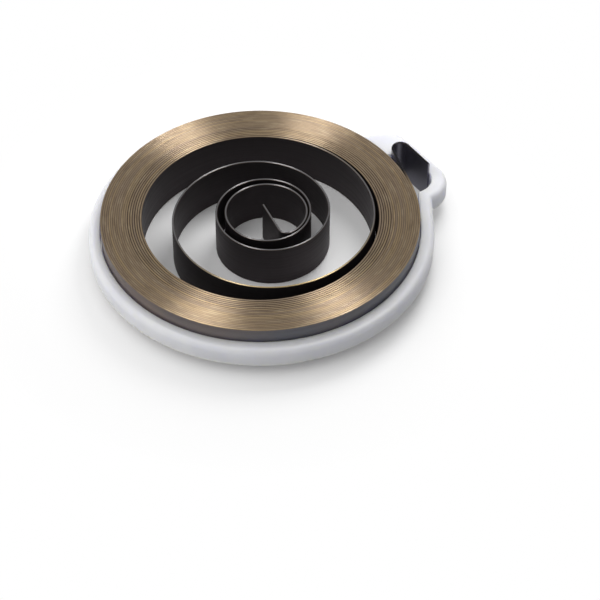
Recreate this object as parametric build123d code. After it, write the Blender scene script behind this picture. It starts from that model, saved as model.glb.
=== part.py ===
from build123d import *
from math import acos, atan2, cos, degrees, radians, sin, tan
import os

# Flat spiral spring of steel strip in a moulded retaining ring, in millimetres.
# Z is the coil's axis and z = 0 the surface that the coil rests on, with the strip on its edge.
# +X points from the axis through the bend of the outer hook, whose leg runs along Y.
# Seen from +Z, the strip winds counterclockwise on its way out.

# Strip and the pack of tight turns
strip_thickness = 0.35
strip_width = 8.0
coil_radius = 27.5            # outside of the pack
turn_gap = 0.025              # air between packed turns
packed_half_turns = 37

# Open turns inside the pack, in quarters: a share of 1 has the pack's radius and 0 the core's
core_radius = 7.0
quarter_shares = [1.0, 0.97, 0.85, 0.73, 0.60, 0.42, 0.25, 0.18, 0.115, 0.065, 0.045, 0.01, 0.0, 0.0]

# Inner end: an easy curve, a tight bend and the straight tab that an arbor's slot takes
entry_step = 0.7              # the easy curve is this much tighter than the core
entry_turn = 72
tab_bend_radius = 1.45
tab_bend_turn = 102
tab_length = 6.75

# Outer end: leaves the coil in a straight line and folds back on itself as a hook
leave_angle = 17              # from +X back to where the strip leaves the coil
hook_radius = 1.5             # to the middle of the strip
hook_leg = 6.2

# Retaining ring
ring_height = 3.5
ring_drop = 0.2               # its middle lies this far below the strip's
ring_clearance = 0.2          # around the coil
ring_wall = 2.12
ring_shift = 0.36             # the ring's outside lies this far off the coil's axis, towards -Y

# Pocket in the ring's lug, around the hook
pocket_clearance = 0.25       # beside and behind the hook
pocket_end_gap = 2.75         # from the strip's cut end to the pocket's end wall
nose_round = 0.5              # where the straight run ends, on the coil's side
pocket_end_round = 3.6
lip_round = 0.3               # where the pocket opens into the ring, behind the hook

# Outside of the lug
lug_wall = 2.3
end_wall = 6.05               # length of the end wall; the ring runs straight up to it
lug_lean = 1.5                # of the long wall, away from the hook's leg
lug_root = 5.85               # solid plastic behind the bend of the hook
shoulder_slope = 8
heel_round = 0.5              # the end wall's end at the ring
toe_round = 5.2               # its end at the long wall
crest_round = 5.0             # the long wall's other end
shoulder_round = 0.8          # where the lug's far side meets the ring

# Edges of the ring's flat faces
rim_round = 1.0               # outside, on top
foot_round = 0.4              # outside, underneath
inner_round = 0.15

wall_share = 0.95             # most of the shorter wall beside a corner that its rounding takes up

# Worked out from the sizes above
pitch = strip_thickness + turn_gap
outer_turn = coil_radius - strip_thickness / 2
inner_turn = outer_turn - packed_half_turns * pitch / 2
run_length = (outer_turn + hook_radius) * tan(radians(leave_angle))
leg_x = (outer_turn + hook_radius) / cos(radians(leave_angle)) + hook_radius
hook_room = hook_radius + strip_thickness / 2 + pocket_clearance
pocket_side = leg_x + strip_thickness / 2 + pocket_clearance
pocket_end = -hook_leg - pocket_end_gap
bore_radius = coil_radius + ring_clearance
ring_radius = bore_radius + ring_wall
ring_base = (strip_width - ring_height) / 2 - ring_drop
ring_centre = Vector(0, -ring_shift)
lug_side = pocket_side + lug_wall
lug_end = pocket_end - lug_wall


def direction(angle):
    return Vector(cos(radians(angle)), sin(radians(angle)))


def strip_moves():
    # the strip's middle from its outer cut end inwards: (length, 0) is straight and (radius, turn) an arc
    moves = [(hook_leg, 0), (hook_radius, 180 - leave_angle), (run_length, 0)]
    moves += [(outer_turn - i * pitch / 2, -180) for i in range(packed_half_turns)]
    moves += [(core_radius + share * (inner_turn - core_radius), -90) for share in quarter_shares]
    return moves + [(core_radius - entry_step, -entry_turn), (tab_bend_radius, -tab_bend_turn), (tab_length, 0)]


def strip_side(offset):
    # one side of the strip in plan, offset to the left of its middle
    place, heading = Vector(leg_x, -hook_leg), 90
    lines = []
    for size, turn in strip_moves():
        left = direction(heading + 90)
        if turn == 0:
            end = place + direction(heading) * size
            lines.append(Line(place + left * offset, end + left * offset))
        else:
            inward = 1 if turn > 0 else -1
            pivot = place + left * size * inward
            lines.append(CenterArc(pivot, size - inward * offset, heading - 90 * inward, turn))
            heading += turn
            end = pivot - direction(heading + 90) * size * inward
        place = end
    return lines


def spring_strip():
    left, right = strip_side(strip_thickness / 2), strip_side(-strip_thickness / 2)
    ends = [Line(left[0] @ 0, right[0] @ 0), Line(left[-1] @ 1, right[-1] @ 1)]
    return extrude(make_face(left + right + ends), strip_width)


def crossing(first, first_angle, second, second_angle):
    # where two lines meet, each given by a point and an angle
    a, b, gap = direction(first_angle), direction(second_angle), second - first
    return first + a * ((gap.X * b.Y - gap.Y * b.X) / (a.X * b.Y - a.Y * b.X))


def lead_angle():
    # from +X back to where the ring runs straight towards the end wall's heel
    toe = crossing(Vector(lug_side, 0), 90 + lug_lean, Vector(0, lug_end), 0)
    heel = toe - Vector(end_wall, 0) - ring_centre
    return degrees(acos(ring_radius / heel.length) - atan2(heel.Y, heel.X))


def rounded(outline, corner, radius):
    # the outline with its vertex nearest to a point rounded, as far as the walls beside it allow
    vertex = outline.vertices().sort_by_distance(corner)[0]
    walls = outline.edges().sort_by_distance(vertex)[:2]
    return fillet(vertex, min(radius, wall_share * min(wall.length for wall in walls)))


def ring_outline(centre, radius, end, side, lean, top, slope, rounds):
    # a circle that runs straight into a lobe with an end wall, a long side wall and a top
    lead = lead_angle()
    tangent = centre + direction(-lead) * radius
    wall = Vector(side, 0), 90 + lean
    heel = crossing(tangent, 90 - lead, Vector(0, end), 0)
    toe = crossing(*wall, Vector(0, end), 0)
    crest = crossing(*wall, Vector(side, top), 180 - slope)
    inside = crossing(crest, 180 - slope, centre, 90)
    lobe = make_face(Polyline(centre, tangent, heel, toe, crest, inside, close=True))
    outline = Pos(centre) * Circle(radius) + lobe
    for corner, round_radius in zip((heel, toe, crest, inside), rounds):
        outline = rounded(outline, corner, round_radius)
    return outline


def retaining_ring():
    outside = ring_outline(ring_centre, ring_radius, lug_end, lug_side, lug_lean, hook_room + lug_root,
                           shoulder_slope, (heel_round, toe_round, crest_round, shoulder_round))
    pocket = ring_outline(Vector(0, 0), bore_radius, pocket_end, pocket_side, 0, hook_room, 0,
                          (nose_round, pocket_end_round, hook_room, lip_round))
    ring = extrude(Pos(Z=ring_base) * (outside - pocket), ring_height)
    for side, edge_round in ((0, foot_round), (-1, rim_round)):
        ring = fillet(ring.faces().sort_by(Axis.Z)[side].outer_wire().edges(), edge_round)
    flats = ring.faces().filter_by(Axis.Z)
    return fillet([edge for flat in flats for wire in flat.inner_wires() for edge in wire.edges()], inner_round)


os.makedirs("parts", exist_ok=True)
for name, shape in (("spring_strip", spring_strip()), ("retaining_ring", retaining_ring())):
    export_step(shape, f"parts/{name}.step")
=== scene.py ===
import bpy
import math
import random
from mathutils import Matrix, Vector, noise


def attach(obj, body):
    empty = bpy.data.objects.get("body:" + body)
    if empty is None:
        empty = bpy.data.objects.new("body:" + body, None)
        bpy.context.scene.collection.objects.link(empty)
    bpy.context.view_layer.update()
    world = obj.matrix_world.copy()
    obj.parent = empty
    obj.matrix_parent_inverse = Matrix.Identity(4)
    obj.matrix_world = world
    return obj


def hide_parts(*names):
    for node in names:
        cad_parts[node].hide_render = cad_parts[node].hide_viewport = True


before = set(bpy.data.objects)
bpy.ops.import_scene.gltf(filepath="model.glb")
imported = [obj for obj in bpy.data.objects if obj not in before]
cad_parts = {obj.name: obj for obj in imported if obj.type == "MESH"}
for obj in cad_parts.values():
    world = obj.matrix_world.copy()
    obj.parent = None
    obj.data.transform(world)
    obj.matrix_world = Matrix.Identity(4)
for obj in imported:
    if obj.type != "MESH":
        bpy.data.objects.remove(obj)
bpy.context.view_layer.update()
print("frame loaded:", sorted(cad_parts))

# The strip is drawn in millimetres and brought to metres when it is done. All else is in metres.
millimetre = 0.001


def selectOnly(piece):
    bpy.ops.object.select_all(action="DESELECT")
    piece.select_set(True)
    bpy.context.view_layer.objects.active = piece


def editAll():
    bpy.ops.object.mode_set(mode="EDIT")
    bpy.ops.mesh.select_all(action="SELECT")


def applyPlace():
    bpy.ops.object.transform_apply(location=True, rotation=True, scale=True)


def joinPieces(pieces, name):
    selectOnly(pieces[0])
    for piece in pieces:
        piece.select_set(True)
    bpy.ops.object.join()
    joined = bpy.context.object
    joined.name = joined.data.name = name
    return joined


def toMetres(piece):
    selectOnly(piece)
    piece.scale = (millimetre, millimetre, millimetre)
    applyPlace()


def unit(angle):
    return Vector((math.cos(math.radians(angle)), math.sin(math.radians(angle)), 0))


def turned(direction, angle):
    # a direction, one unit long and turned round the coil's axis
    return Matrix.Rotation(math.radians(angle), 3, "Z") @ Vector(direction).normalized()


# camera: its place round the coil, and where it points

cameraView = {
    "lens": 144.0,
    "distance": 0.4125,        # from the middle of the coil's top
    "turn": -34.0,             # round the coil, degrees
    "elevation": 43.5,
    "roll": 0.62,
    "aimRight": 0.9458,        # degrees past the coil's middle
    "aimDown": 2.0334,
    "coilTop": 0.008,
    "clip": (0.01, 10.0),      # nearest and farthest that it sees
}


def addCamera(view):
    target = Vector((0, 0, view["coilTop"]))
    turn, rise = math.radians(view["turn"]), math.radians(view["elevation"])
    back = Vector((math.sin(turn) * math.cos(rise), -math.cos(turn) * math.cos(rise), math.sin(rise)))
    look = (-back).to_track_quat("-Z", "Y").to_matrix().to_4x4()
    for angle, axis in (("roll", "Z"), ("aimRight", "Y"), ("aimDown", "X")):
        look = look @ Matrix.Rotation(math.radians(-view[angle]), 4, axis)
    camera = bpy.data.objects.new("viewCamera", bpy.data.cameras.new("viewCamera"))
    bpy.context.scene.collection.objects.link(camera)
    camera.data.lens = view["lens"]
    camera.data.clip_start, camera.data.clip_end = view["clip"]
    camera.matrix_world = Matrix.Translation(target + back * view["distance"]) @ look
    bpy.context.scene.camera = camera


addCamera(cameraView)
print("camera placed")

# what the materials are made with


def addNode(tree, kind, inputs=None, **settings):
    made = tree.nodes.new(kind)
    for key, value in settings.items():
        setattr(made, key, value)
    for key, value in (inputs or {}).items():
        if isinstance(value, bpy.types.NodeSocket):
            tree.links.new(value, made.inputs[key])
        else:
            made.inputs[key].default_value = value
    return made


def newMaterial(name):
    material = bpy.data.materials.new(name)
    material.use_nodes = True
    return material, material.node_tree, material.node_tree.nodes["Principled BSDF"]


def mathOf(tree, operation, *values):
    return addNode(tree, "ShaderNodeMath", dict(enumerate(values)), operation=operation).outputs[0]


def attributeOf(tree, name, output="Fac"):
    return addNode(tree, "ShaderNodeAttribute", attribute_name=name).outputs[output]


def objectPlace(tree):
    return addNode(tree, "ShaderNodeTexCoord").outputs["Object"]


def heightOf(tree, vector):
    return addNode(tree, "ShaderNodeSeparateXYZ", {"Vector": vector}).outputs["Z"]


def noiseOf(tree, vector, scale, detail):
    inputs = {"Vector": vector, "Scale": scale, "Detail": detail}
    return addNode(tree, "ShaderNodeTexNoise", inputs).outputs["Fac"]


def noiseAlong(tree, along, perMetre):
    inputs = {"W": along, "Scale": perMetre, "Detail": 1.0}
    return addNode(tree, "ShaderNodeTexNoise", inputs, noise_dimensions="1D").outputs["Fac"]


def rangeOf(tree, value, fromMin, fromMax, toMin, toMax):
    inputs = {"Value": value, "From Min": fromMin, "From Max": fromMax, "To Min": toMin, "To Max": toMax}
    return addNode(tree, "ShaderNodeMapRange", inputs).outputs["Result"]


def mixValue(tree, factor, first, second):
    return addNode(tree, "ShaderNodeMix", {"Factor": factor, "A": first, "B": second}).outputs["Result"]


def mixColour(tree, factor, first, second):
    mixed = addNode(tree, "ShaderNodeMix", {"Factor": factor}, data_type="RGBA")
    for socket, colour in zip([i for i in mixed.inputs if i.type == "RGBA"], (first, second)):
        if isinstance(colour, bpy.types.NodeSocket):
            tree.links.new(colour, socket)
        else:
            socket.default_value = (*colour, 1)
    return [o for o in mixed.outputs if o.type == "RGBA"][0]


def colourRamp(tree, factor, positions, colours):
    ramp = addNode(tree, "ShaderNodeValToRGB", {"Fac": factor})
    elements = ramp.color_ramp.elements
    while len(elements) < len(positions):
        elements.new(0.5)
    for element, position, colour in zip(elements, positions, colours):
        element.position = position
        element.color = (*colour, 1)
    return ramp.outputs["Color"]


# slit edges: bronze, with painted shade in the groove beside each turn, painted glints and a lengthwise grain

slitEdgeLook = {
    "dark": (0.430, 0.328, 0.238),
    "middle": (0.480, 0.362, 0.244),
    "bright": (0.580, 0.432, 0.264),
    "stops": (0.32, 0.50, 0.68),         # where the noise gives those three
    "streaksPerMetre": 20,
    "dashesPerMetre": 60,
    "dashShare": 0.35,
    "specksPerMetre": 260,
    "speckNoise": (0.58, 0.72),          # from no speck to a full one
    "speckDepth": 0.20,
    # painted glints: bright dashes of highlight put into the edge's colour
    "glintNoise": (0.42, 0.28),
    "glintDepth": 0.20,
    "paintedGlint": (0.850, 0.710, 0.480),
    "open": (0.270, 0.270, 0.280),
    "gold": (0.820, 0.640, 0.330),
    "tones": [("open", 0.035, 0.062), ("gold", 0.070, 0.088), ("open", 0.098, 0.118)],   # past the pack's end
    "hook": (0.045, 0.045, 0.055),
    "hookEnd": (0.016, 0.020),           # along the strip
    # the colour of the painted shade in the grooves, and of the dark specks
    "grooveShadeAndSpecks": (0.120, 0.085, 0.065),
    "grooveShadeDepth": (0.68, 0.88),         # the painted groove shade is weaker in the tight turns than in the loose ones
    "loosening": (-1.04, -0.80),         # past the pack's end
    "packedCrown": (0.0, 0.42),          # where the painted groove shade fades, from the edge's side to its middle
    "openCrown": (0.28, 0.52),
    "opening": (0.0, 0.03),              # past the pack's end
    "roughNoise": (0.3, 0.7),
    "roughness": (0.36, 0.44),
    "grain": 1.0,
}


def slitEdgeColour(tree, look, along, dashes):
    streaks = noiseAlong(tree, along, look["streaksPerMetre"])
    pattern = mixValue(tree, look["dashShare"], streaks, dashes)
    colour = colourRamp(tree, pattern, look["stops"], (look["dark"], look["middle"], look["bright"]))
    specks = noiseAlong(tree, along, look["specksPerMetre"])
    speckled = rangeOf(tree, specks, *look["speckNoise"], 0.0, look["speckDepth"])
    # painted highlight: sparse bright glints along the edge
    paintedGlints = rangeOf(tree, specks, *look["glintNoise"], 0.0, look["glintDepth"])
    return mixColour(tree, paintedGlints, mixColour(tree, speckled, colour, look["grooveShadeAndSpecks"]), look["paintedGlint"])


def slitEdgeMaterial(look, packedEnd):
    material, tree, shader = newMaterial("slitEdgeBronze")
    along = attributeOf(tree, "along")

    def pastPack(begin, end, first, last):
        return rangeOf(tree, along, packedEnd + begin, packedEnd + end, first, last)

    dashes = noiseAlong(tree, along, look["dashesPerMetre"])
    colour = slitEdgeColour(tree, look, along, dashes)
    for tone, begin, end in look["tones"]:
        colour = mixColour(tree, pastPack(begin, end, 0.0, 1.0), colour, look[tone])
    hooked = rangeOf(tree, along, *look["hookEnd"], 1.0, 0.0)
    colour = mixColour(tree, hooked, colour, look["hook"])
    crowns = [pastPack(*look["opening"], *pair) for pair in zip(look["packedCrown"], look["openCrown"])]
    depth = pastPack(*look["loosening"], *look["grooveShadeDepth"])
    # painted shade in the groove beside each turn: darkest at the edge's side, gone towards its middle
    grooveShaded = rangeOf(tree, attributeOf(tree, "crown"), *crowns, depth, 0.0)
    tree.links.new(mixColour(tree, grooveShaded, colour, look["grooveShadeAndSpecks"]), shader.inputs["Base Color"])
    rough = rangeOf(tree, dashes, *look["roughNoise"], *look["roughness"])
    tree.links.new(rough, shader.inputs["Roughness"])
    tree.links.new(attributeOf(tree, "athwart", "Vector"), shader.inputs["Tangent"])
    shader.inputs["Anisotropic"].default_value = look["grain"]
    shader.inputs["Metallic"].default_value = 1.0
    return material


# broad faces: dark blued steel with fine rolling lines, and a painted reflection of the white ring that makes
# them paler beside it

bluedFaceLook = {
    "blue": (0.120, 0.120, 0.130),
    "brown": (0.170, 0.138, 0.122),
    "stops": (0.35, 0.65),               # where the tint gives those two
    "turnsBrown": (0.066, 0.092),        # along the strip
    "brownTint": (0.25, 0.75),
    "cloudsPerMetre": 90.0,
    "cloudShare": 0.4,
    "detail": 2.0,
    "ringHeight": 0.0038,
    "ringReach": (0.0020, 0.0036),
    "paintedRingReflection": 1.9,                   # how much paler the painted reflection makes it there
    # painted shade: a darker colour for the inner turns' faces
    "paintedInnerShade": (0.058, 0.050, 0.053),
    "innerFrom": (0.171, 0.190),         # along the strip
    "innerDuller": 0.20,
    "hook": (0.210, 0.205, 0.240),
    "hookEnd": (0.0128, 0.0160),         # along the strip
    "rollingLines": (60, 4200, 1),       # to the metre, along the strip and up it
    "rollingNoise": (0.3, 0.7),
    "roughness": (0.30, 0.44),
}


def bluedFaceColour(tree, look, along, height, flat, inside):
    cloud = noiseOf(tree, flat, look["cloudsPerMetre"], look["detail"])
    browned = rangeOf(tree, along, *look["turnsBrown"], *look["brownTint"])
    tint = mixValue(tree, look["cloudShare"], browned, cloud)
    colour = colourRamp(tree, tint, look["stops"], (look["blue"], look["brown"]))
    # painted reflection of the white ring: the face is paler around the ring's height
    away = mathOf(tree, "ABSOLUTE", mathOf(tree, "SUBTRACT", height, look["ringHeight"]))
    ringReflectionScale = rangeOf(tree, away, *look["ringReach"], look["paintedRingReflection"], 1.0)
    scaled = addNode(tree, "ShaderNodeVectorMath", {0: colour, "Scale": ringReflectionScale}, operation="SCALE")
    # painted shade on the inner turns' faces
    colour = mixColour(tree, inside, scaled.outputs["Vector"], look["paintedInnerShade"])
    hooked = rangeOf(tree, along, *look["hookEnd"], 1.0, 0.0)
    return mixColour(tree, hooked, colour, look["hook"])


def bluedFaceMaterial(look):
    material, tree, shader = newMaterial("bluedFace")
    along, height = attributeOf(tree, "along"), heightOf(tree, objectPlace(tree))
    flat = addNode(tree, "ShaderNodeCombineXYZ", {"X": along, "Y": height}).outputs["Vector"]
    inside = rangeOf(tree, along, *look["innerFrom"], 0.0, 1.0)
    colour = bluedFaceColour(tree, look, along, height, flat, inside)
    tree.links.new(colour, shader.inputs["Base Color"])
    lines = addNode(tree, "ShaderNodeMapping", {"Vector": flat, "Scale": look["rollingLines"]})
    rolling = noiseOf(tree, lines.outputs["Vector"], 1.0, look["detail"])
    rough = rangeOf(tree, rolling, *look["rollingNoise"], *look["roughness"])
    duller = mathOf(tree, "MULTIPLY_ADD", inside, look["innerDuller"], rough)
    tree.links.new(duller, shader.inputs["Roughness"])
    shader.inputs["Metallic"].default_value = 1.0
    return material


# spring strip: one section is swept along straights and arcs, then the runs are joined

stripShape = {
    "thickness": 0.35,
    "width": 8.0,
    "coilRadius": 27.5,
    "turnGap": 0.025,
    "packedHalfTurns": 37,
    "coreRadius": 7.0,
    "quarterShares": [1.0, 0.97, 0.85, 0.73, 0.60, 0.42, 0.25, 0.18, 0.115, 0.065, 0.045, 0.01, 0.0, 0.0],
    "entryStep": 0.7,
    "entryTurn": 72,
    "tabBendRadius": 1.45,
    "tabBendTurn": 102,
    "tabLength": 6.75,
    "leaveAngle": 17,
    "hookRadius": 1.5,
    "hookLeg": 6.2,
    "edgeRound": 0.07,         # the slit edges are rolled over
    "edgeSteps": 2,
    "edgeMargin": 0.03,        # flat kept true beside the rolled edge
    "degreesPerStep": 2.5,
    "tightStep": 10,           # degrees, on the hook and the tab's bend
    "mergeWithin": 0.002,
    "smoothAngle": 40,
    "least": 0.004,            # air left between the closest turns
    "unevenness": (0.8, 1.2),  # of the rest of the air between turns
    "looseTurns": 6,           # at the inside of the pack
    "looseness": 12,           # how much more air they take than the others
    "seed": 11,
    "sag": 0.03,               # how far an edge may stand in from the strip's full width
    "sagLength": 70,           # along the strip
    "tilt": 4,                 # degrees that an edge may lean either way
    "dish": 2.5,               # and how far all of them lean inwards
    "tiltLengths": (110, 20),  # of a slow lean and a slighter quick one
    "quickTilt": 0.2,
    "edgeRow": 40,             # sets the upper and lower edges apart in the noise
    "leanRow": 9,              # and the lean from the sag
}


def outerRadius(shape):
    return shape["coilRadius"] - shape["thickness"] / 2


def packedSteps(shape):
    # how much each half turn is tighter than the last: uneven, but either side's steps add up as if even
    dice = random.Random(shape["seed"])
    count = shape["packedHalfTurns"]
    looseFrom = count - 2 * shape["looseTurns"]
    steps = [0] * count
    for side in (0, 1):
        places = range(side, count, 2)
        weights = [dice.uniform(*shape["unevenness"]) * (shape["looseness"] if place >= looseFrom else 1)
                   for place in places]
        slack = len(places) * (shape["turnGap"] - shape["least"]) / 2
        for place, weight in zip(places, weights):
            steps[place] = (shape["thickness"] + shape["least"]) / 2 + slack * weight / sum(weights)
    return steps


def stripMoves(shape):
    # from the outer cut end inwards: (length, 0) is straight and (radius, turn) an arc
    radius, core = outerRadius(shape), shape["coreRadius"]
    run = (radius + shape["hookRadius"]) * math.tan(math.radians(shape["leaveAngle"]))
    moves = [(shape["hookLeg"], 0), (shape["hookRadius"], 180 - shape["leaveAngle"]), (run, 0)]
    for step in packedSteps(shape):
        moves.append((radius, -180))
        radius -= step
    moves += [(core + share * (radius - core), -90) for share in shape["quarterShares"]]
    moves.append((core - shape["entryStep"], -shape["entryTurn"]))
    moves.append((shape["tabBendRadius"], -shape["tabBendTurn"]))
    moves.append((shape["tabLength"], 0))
    return moves


def stripSection(shape):
    # the strip's outline across, standing on its edge and facing along +X
    bpy.ops.object.select_all(action="DESELECT")
    bpy.ops.mesh.primitive_plane_add(size=1, rotation=(math.radians(90), 0, math.radians(90)))
    section = bpy.context.object
    section.scale = (shape["thickness"], shape["width"], 1)
    section.location.z = shape["width"] / 2
    applyPlace()
    editAll()
    bpy.ops.mesh.bevel(offset=shape["edgeRound"], segments=shape["edgeSteps"], affect="VERTICES")
    bpy.ops.mesh.delete(type="ONLY_FACE")
    margin = shape["edgeRound"] + shape["edgeMargin"]
    for point, normal in (((0, 0, margin), (0, 0, 1)),                       # above the lower edge
                          ((0, 0, shape["width"] - margin), (0, 0, 1)),      # below the upper edge
                          ((0, 0, 0), (0, 1, 0))):                           # down the middle
        bpy.ops.mesh.select_all(action="SELECT")
        bpy.ops.mesh.bisect(plane_co=point, plane_no=normal)
    bpy.ops.object.mode_set(mode="OBJECT")
    return section


def drawMove(place, heading, size, turn, steps):
    # extrudes or spins what is selected along one move, and gives the place and heading at its end
    along = unit(heading)
    if turn == 0:
        bpy.ops.mesh.extrude_region_move(TRANSFORM_OT_translate={"value": along * size})
        return place + along * size, heading
    pivot = place + unit(heading + 90) * math.copysign(size, turn)
    bpy.ops.mesh.spin(steps=steps, angle=math.radians(-turn), center=pivot, axis=(0, 0, 1))
    return pivot + Matrix.Rotation(math.radians(turn), 3, "Z") @ (place - pivot), heading + turn


def edgeWaver(shape, distance, side):
    # how far one edge stands in at a distance along the strip, and its slope across
    row = side * shape["edgeRow"]
    sag = 0.5 + 0.5 * noise.noise(Vector((distance / shape["sagLength"], row, 0)))
    slow, quick = (noise.noise(Vector((distance / reach, row, shape["leanRow"])))
                   for reach in shape["tiltLengths"])
    lean = max(-1, min(1, slow + shape["quickTilt"] * quick))
    return shape["sag"] * sag, math.tan(math.radians(lean * shape["tilt"] - shape["dish"]))


def finishRun(run, shape, across, heading, turn, steps, start, length):
    # each vertex keeps its distance along the strip, its place across and the way across, and the edges lean
    half, middle = shape["thickness"] / 2, shape["width"] / 2
    lowest = half * math.tan(math.radians(shape["tilt"] + shape["dish"]))
    kept = {"along": "FLOAT", "crown": "FLOAT", "athwart": "FLOAT_VECTOR"}
    for name, kind in kept.items():
        run.data.attributes.new(name, kind, "POINT")
    along, crown, athwart = (run.data.attributes[name].data for name in kept)
    for index, vertex in enumerate(run.data.vertices):
        part = (index // len(across)) / steps
        distance = start + length * part
        offset = across[index % len(across)]
        along[index].value = distance * millimetre
        crown[index].value = 1 - abs(offset) / half
        athwart[index].vector = unit(heading + turn * part + 90)
        side = 1 if vertex.co.z > middle else -1
        sag, slope = edgeWaver(shape, distance, side)
        vertex.co.z -= side * (sag + lowest + offset * slope)


def stripRun(section, shape, place, heading, size, turn, start):
    # one straight or arc of the strip, from a copy of the section
    run = bpy.data.objects.new("stripRun", section.data.copy())
    bpy.context.scene.collection.objects.link(run)
    selectOnly(run)
    across = [vertex.co.y for vertex in run.data.vertices]
    run.rotation_euler.z = math.radians(heading)
    run.location = place
    applyPlace()
    step = shape["tightStep"] if size < 2 * shape["hookRadius"] else shape["degreesPerStep"]
    steps = math.ceil(abs(turn) / step) if turn else 1
    length = math.radians(abs(turn)) * size if turn else size
    editAll()
    endPlace, endHeading = drawMove(place, heading, size, turn, steps)
    bpy.ops.object.mode_set(mode="OBJECT")
    finishRun(run, shape, across, heading, turn, steps, start, length)
    return run, endPlace, endHeading, start + length


def closeStrip(shape):
    # merges the runs, closes both cut ends and turns all faces outwards
    editAll()
    bpy.ops.mesh.remove_doubles(threshold=shape["mergeWithin"])
    bpy.ops.mesh.select_all(action="DESELECT")
    bpy.ops.mesh.select_mode(type="EDGE")
    bpy.ops.mesh.select_non_manifold(extend=False, use_wire=False, use_boundary=True, use_multi_face=False,
                                     use_non_contiguous=False, use_verts=False)
    bpy.ops.mesh.edge_face_add()
    bpy.ops.mesh.select_all(action="SELECT")
    bpy.ops.mesh.normals_make_consistent(inside=False)
    bpy.ops.object.mode_set(mode="OBJECT")
    bpy.ops.object.shade_smooth_by_angle(angle=math.radians(shape["smoothAngle"]))


def paintStrip(strip, shape, packedEnd):
    # a broad face covers more than half the strip's width, and a slit edge doesn't
    strip.data.materials.append(slitEdgeMaterial(slitEdgeLook, packedEnd))
    strip.data.materials.append(bluedFaceMaterial(bluedFaceLook))
    for face in strip.data.polygons:
        heights = [strip.data.vertices[index].co.z for index in face.vertices]
        face.material_index = 1 if max(heights) - min(heights) > shape["width"] / 2 else 0


def buildStrip(shape):
    section = stripSection(shape)
    leave = math.radians(shape["leaveAngle"])
    legX = (outerRadius(shape) + shape["hookRadius"]) / math.cos(leave) + shape["hookRadius"]
    place, heading, distance = Vector((legX, -shape["hookLeg"], 0)), 90, 0
    runs = []
    packedEnd = 0
    for size, turn in stripMoves(shape):
        run, place, heading, distance = stripRun(section, shape, place, heading, size, turn, distance)
        runs.append(run)
        if turn == -180:       # only packed turns are half turns
            packedEnd = distance * millimetre
    bpy.data.objects.remove(section)
    strip = joinPieces(runs, "springStrip")
    closeStrip(shape)
    paintStrip(strip, shape, packedEnd)
    toMetres(strip)
    print("strip:", len(strip.data.polygons), "faces,", round(distance), "mm long")
    return strip


springStrip = buildStrip(stripShape)
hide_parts("spring_strip")
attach(springStrip, "root")

# retaining ring: it keeps its shape, and gets milky nylon with a painted bright line along its lower edge

ringLook = {
    "colour": (0.780, 0.785, 0.820),
    "shade": (0.740, 0.745, 0.790),
    "stops": (0.35, 0.65),               # where the noise gives the shade and the colour
    "cloudsPerMetre": 160.0,
    "detail": 3.0,
    "paintedFootLight": (0.950, 0.950, 0.960),       # painted light: a bright line on the thin lower edge, standing in for light let through it
    "footLightHeight": (0.00245, 0.00275),
    "roughness": 0.42,
    "ior": 1.5,
    "scatter": 1.0,
    "scatterRadius": (0.0022, 0.0022, 0.0026),
}


def ringMaterial(look):
    material, tree, shader = newMaterial("milkyNylon")
    place = objectPlace(tree)
    cloud = noiseOf(tree, place, look["cloudsPerMetre"], look["detail"])
    colour = colourRamp(tree, cloud, look["stops"], (look["shade"], look["colour"]))
    # painted light: the lower edge is made paler
    footLit = rangeOf(tree, heightOf(tree, place), *look["footLightHeight"], 1.0, 0.0)
    tree.links.new(mixColour(tree, footLit, colour, look["paintedFootLight"]), shader.inputs["Base Color"])
    shader.inputs["Roughness"].default_value = look["roughness"]
    shader.inputs["IOR"].default_value = look["ior"]
    shader.inputs["Subsurface Weight"].default_value = look["scatter"]
    shader.inputs["Subsurface Radius"].default_value = look["scatterRadius"]
    shader.inputs["Subsurface Scale"].default_value = 1.0
    return material


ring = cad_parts["retaining_ring"]
ring.data.materials.clear()
ring.data.materials.append(ringMaterial(ringLook))
print("ring finished")

# floor, backdrop and lights

studio = {
    "floorSize": 6.0,
    "floorRoughness": 0.9,
    "floorShown": 1.00,                      # the floor as the camera sees it
    "floorBounce": 0.50,                     # and the light it throws back on the object
    "floorFade": (0.026, 0.052),             # it turns to plain white away from the object
    "softFrom": (-0.92, 0.05, 0.40),         # the soft light's side, as the camera sees it
    "softReach": (-0.2, 1.0),
    "soft": (0.17, 1.55),                    # its level, far side and near side
    "glossHeights": (0.0, 0.08, 0.45, 0.62, 1.0),
    "glossLevels": (1.0, 0.30, 0.30, 0.60, 0.44),      # what a gloss shows at those heights
}

# the back lamp lights the surfaces, and the two others only make the sheen

lamps = {
    "backLamp": {"direction": (0.35, 0.60, 0.72), "distance": 0.15, "size": 0.08, "power": 0.115,
                 "gloss": False},
    "leftLamp": {"direction": (-0.255, 0.110, 0.960), "distance": 0.9, "size": 0.24, "power": 2.1,
                 "gloss": True},
    "rightLamp": {"direction": (0.345, 0.173, 0.922), "distance": 0.9, "size": 0.24, "power": 2.35,
                  "gloss": True},
}


def seenDirectly(tree):
    # 1 for what the camera sees, straight or in a gloss or through something clear
    path = addNode(tree, "ShaderNodeLightPath").outputs
    either = mathOf(tree, "MAXIMUM", path["Is Camera Ray"], path["Is Glossy Ray"])
    return mathOf(tree, "MAXIMUM", either, path["Is Transmission Ray"])


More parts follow.
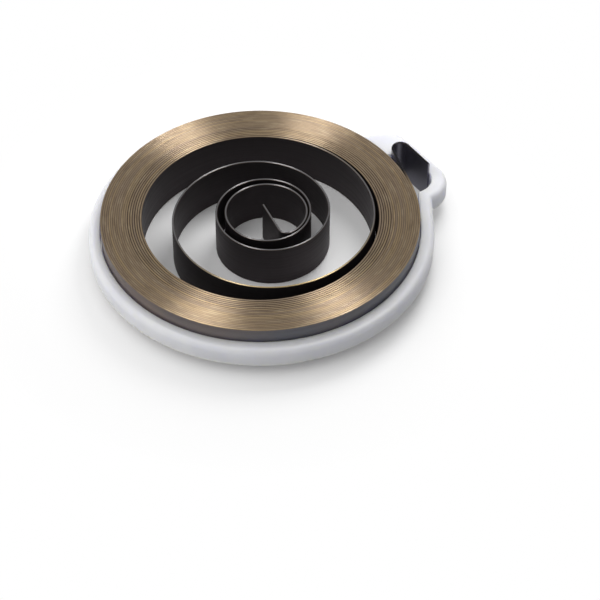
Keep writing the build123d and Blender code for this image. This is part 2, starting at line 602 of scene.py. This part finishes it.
def floorMaterial(look):
    material, tree, shader = newMaterial("floor")
    seen = seenDirectly(tree)
    grey = rangeOf(tree, seen, 0.0, 1.0, look["floorBounce"], look["floorShown"])
    tree.links.new(grey, shader.inputs["Base Color"])
    shader.inputs["Roughness"].default_value = look["floorRoughness"]
    shader.inputs["Specular IOR Level"].default_value = 0.0
    away = addNode(tree, "ShaderNodeVectorMath", {0: objectPlace(tree)}, operation="LENGTH").outputs["Value"]
    share = mathOf(tree, "MULTIPLY", rangeOf(tree, away, *look["floorFade"], 0.0, 1.0), seen)
    white = addNode(tree, "ShaderNodeEmission", {"Strength": 1.0}).outputs["Emission"]
    mixed = addNode(tree, "ShaderNodeMixShader", {"Fac": share, 1: shader.outputs["BSDF"], 2: white})
    tree.links.new(mixed.outputs["Shader"], tree.nodes["Material Output"].inputs["Surface"])
    return material


def addFloor(look):
    bpy.ops.object.select_all(action="DESELECT")
    bpy.ops.mesh.primitive_plane_add(size=look["floorSize"], location=(0, 0, 0))
    floor = bpy.context.object
    floor.name = "floor"
    floor.data.materials.append(floorMaterial(look))


def addWorld(look, turn):
    # a soft light from one side, a backdrop for the gloss, and plain white for the camera
    world = bpy.data.worlds.new("studio")
    world.use_nodes = True
    bpy.context.scene.world = world
    tree = world.node_tree
    toward = addNode(tree, "ShaderNodeTexCoord").outputs["Generated"]
    greys = [(level, level, level) for level in look["glossLevels"]]
    backdrop = colourRamp(tree, heightOf(tree, toward), look["glossHeights"], greys)
    sides = {0: toward, 1: turned(look["softFrom"], turn)}
    facing = addNode(tree, "ShaderNodeVectorMath", sides, operation="DOT_PRODUCT").outputs["Value"]
    soft = rangeOf(tree, facing, *look["softReach"], *look["soft"])
    shown = mixValue(tree, seenDirectly(tree), soft, backdrop)
    camera = addNode(tree, "ShaderNodeLightPath").outputs["Is Camera Ray"]
    background = tree.nodes["Background"]
    background.inputs["Color"].default_value = (1, 1, 1, 1)
    tree.links.new(mixValue(tree, camera, shown, 1.0), background.inputs["Strength"])


def addLamp(name, lamp, turn):
    data = bpy.data.lights.new(name, "AREA")
    data.shape = "DISK"
    data.size = lamp["size"]
    data.energy = lamp["power"]
    made = bpy.data.objects.new(name, data)
    bpy.context.scene.collection.objects.link(made)
    direction = turned(lamp["direction"], turn)
    made.location = direction * lamp["distance"]
    made.rotation_mode = "QUATERNION"
    made.rotation_quaternion = direction.to_track_quat("Z", "Y")
    made.visible_glossy = lamp["gloss"]
    made.visible_diffuse = not lamp["gloss"]


addFloor(studio)
addWorld(studio, cameraView["turn"])
for lampName, lampValues in lamps.items():
    addLamp(lampName, lampValues, cameraView["turn"])
bpy.context.scene.view_settings.view_transform = "Standard"
print("studio set")
